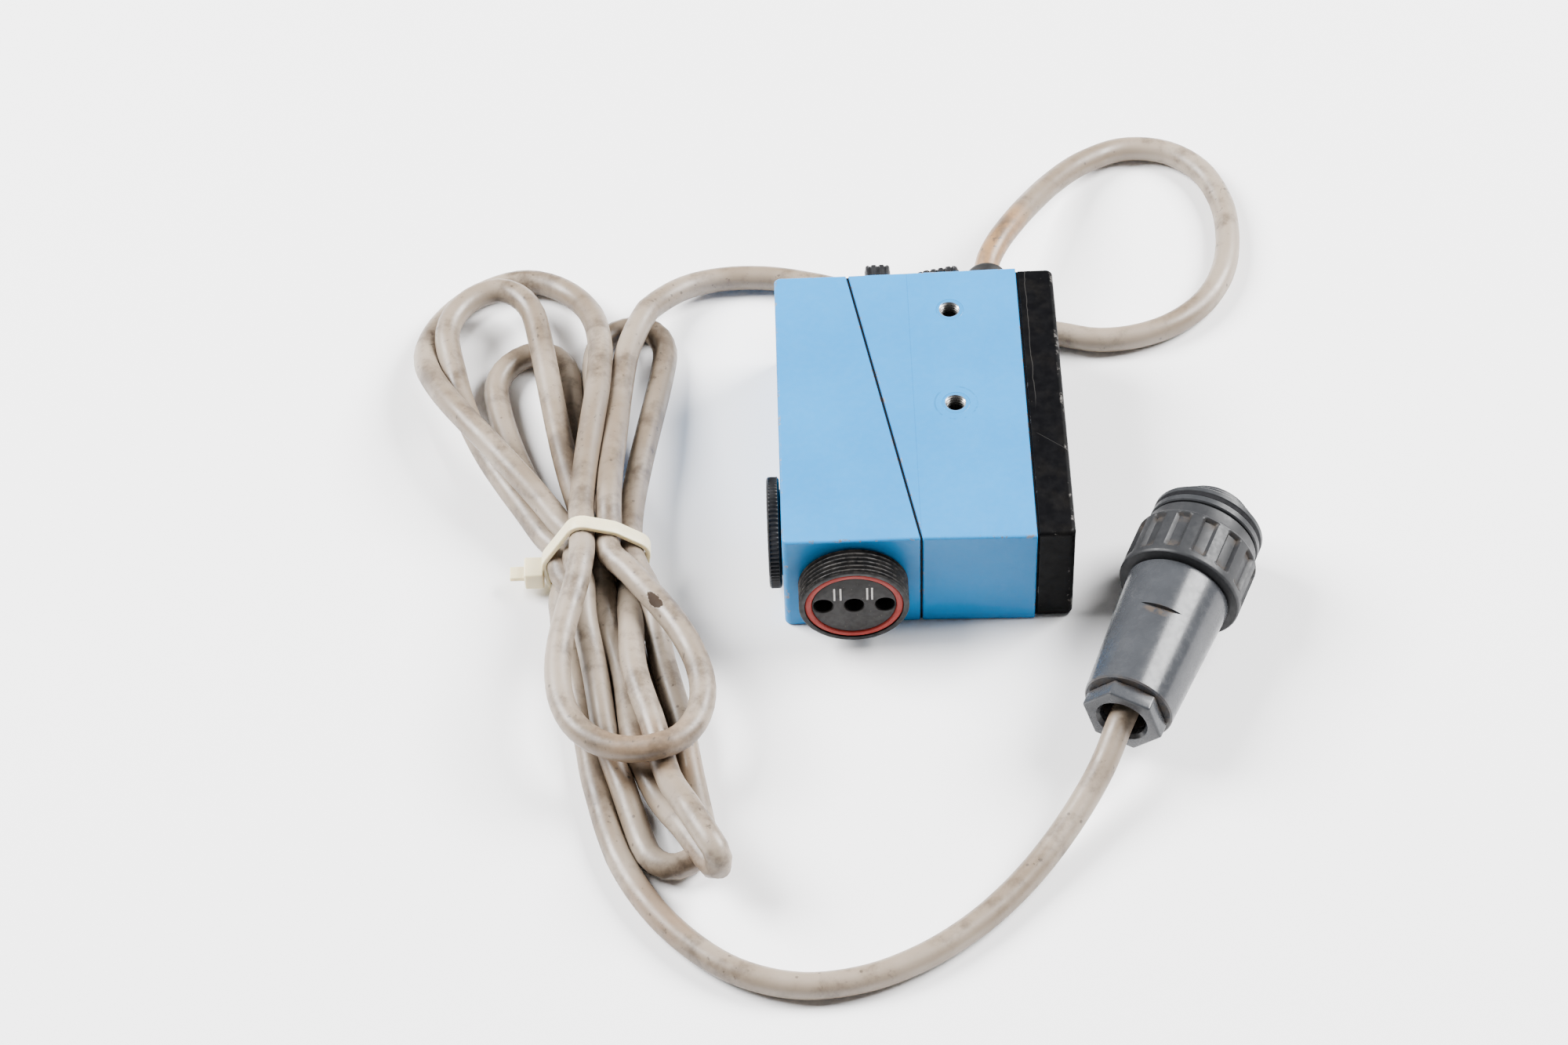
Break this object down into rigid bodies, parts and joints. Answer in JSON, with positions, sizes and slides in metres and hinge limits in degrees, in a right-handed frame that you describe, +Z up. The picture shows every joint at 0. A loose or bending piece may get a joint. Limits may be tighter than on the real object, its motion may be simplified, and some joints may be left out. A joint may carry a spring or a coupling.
{
  "type": "photoelectric sensor",
  "caption": "Flat two-part die-cast photoelectric contrast sensor with a threaded optical head, blanked side port, setting knobs and a hanked cable with a round plug.",
  "frame": {"origin": "bottom centre of the box round the sensor itself (cable, hank and plug left out), as it lies on its large face", "axes": "+X to the right, from the optical housing to the side cover; +Y to the back, from the optical head to the cable boot; +Z up, out of the face with the mounting threads"},
  "size_m": [0.2037, 0.2507, 0.03],
  "materials": {
    "blue_paint": "light blue semi-gloss paint on a die casting, chipped at its corners",
    "black_paint": "black satin paint, worn to grey metal along its edges",
    "gasket_rubber": "matte black rubber",
    "screw_steel": "zinc-plated steel",
    "insert_steel": "bright thread insert",
    "barrel_black": "black anodised metal, rubbed on the thread crests",
    "seal_red": "red silicone",
    "plate_grey": "dark grey plastic with white tick marks",
    "optic_black": "black moulded plastic",
    "board_green": "green solder mask",
    "part_black": "black component bodies",
    "led_red": "red tinted lens",
    "led_dark": "dark tinted lens",
    "diode_clear": "smoky clear lens",
    "ribbon_grey": "grey ribbon cable",
    "cap_black": "black plastic, knurled rim",
    "oring_brown": "brown rubber",
    "pot_blue": "blue plastic case",
    "switch_grey": "dark grey plastic case",
    "shaft_steel": "turned steel",
    "knob_black": "black plastic with moulded ribs",
    "lens_yellow": "yellow tinted lens",
    "boot_black": "matte black rubber",
    "core_brown": "coloured core insulation",
    "cable_grey": "warm grey PVC jacket, soiled with brown specks",
    "tie_nylon": "natural translucent nylon",
    "plug_grey": "grey moulded plastic, glossy",
    "ring_grey": "grey moulded plastic, dirt in its flutes",
    "insert_grey": "dark grey insulator",
    "contact_brass": "gilt contacts"
  },
  "bodies": {
    "sensor_body": {"optics_housing": "blue_paint", "electronics_housing": "blue_paint", "parting_gasket": "gasket_rubber", "side_cover": "black_paint", "cover_gasket": "gasket_rubber", "cover_screws": "screw_steel", "housing_screws": "screw_steel", "front_thread_insert": "insert_steel", "rear_thread_insert": "insert_steel", "head_barrel": "barrel_black", "head_nut": "screw_steel", "head_seal_ring": "seal_red", "fibre_face_plate": "plate_grey", "fibre_sleeves": "optic_black", "optics_board": "board_green", "red_led": "led_red", "infrared_led": "led_dark", "photodiode": "diode_clear", "board_ribbon": "ribbon_grey", "main_board": "board_green", "board_components": "part_black", "sensitivity_potentiometer": "pot_blue", "mode_switch": "switch_grey", "shaft_seals": "gasket_rubber", "status_lens": "lens_yellow", "cable_boot": "boot_black", "cable_clamp": "screw_steel", "cable_cores": "core_brown", "cable_lead_in": "cable_grey", "cable_hank": "cable_grey", "cable_lead_out": "cable_grey", "cable_tie": "tie_nylon", "plug_clamp_nut": "plug_grey", "plug_clamp_seal": "boot_black", "plug_body": "plug_grey", "plug_insert": "insert_grey", "plug_contacts": "contact_brass", "plug_gasket": "gasket_rubber"},
    "sensitivity_dial": {"sensitivity_shaft": "shaft_steel", "sensitivity_knob": "knob_black"},
    "mode_dial": {"mode_shaft": "shaft_steel", "mode_knob": "knob_black"},
    "cap_carrier": {"cap_oring": "oring_brown"},
    "port_cap": {"blanking_cap": "cap_black"},
    "plug_ring": {"plug_coupling_ring": "ring_grey"}
  },
  "joints": [
    {"name": "sensitivity_turn", "type": "hinge", "parent": "sensor_body", "child": "sensitivity_dial", "pos_m": [-0.0065, 0.0409, 0.015], "axis": [0, 1, 0], "range_deg": [-135, 135]},
    {"name": "mode_turn", "type": "hinge", "parent": "sensor_body", "child": "mode_dial", "pos_m": [0.0084, 0.0409, 0.015], "axis": [0, 1, 0], "range_deg": [-60, 120]},
    {"name": "cap_lift", "type": "slide", "parent": "sensor_body", "child": "cap_carrier", "axis": [-1, 0, 0], "range_m": [0, 0.0051]},
    {"name": "cap_turn", "type": "hinge", "parent": "cap_carrier", "child": "port_cap", "pos_m": [-0.0314, -0.0277, 0.015], "axis": [-1, 0, 0], "range_deg": [0, 1800]},
    {"name": "plug_ring_turn", "type": "hinge", "parent": "sensor_body", "child": "plug_ring", "pos_m": [0.042, -0.084, 0.0144], "axis": [0.4067, 0.9135, 0], "continuous": true}
  ],
  "couplings": [
    {"joint": "cap_lift", "follows": "cap_turn", "m_per_rad": 0.00015915}
  ]
}
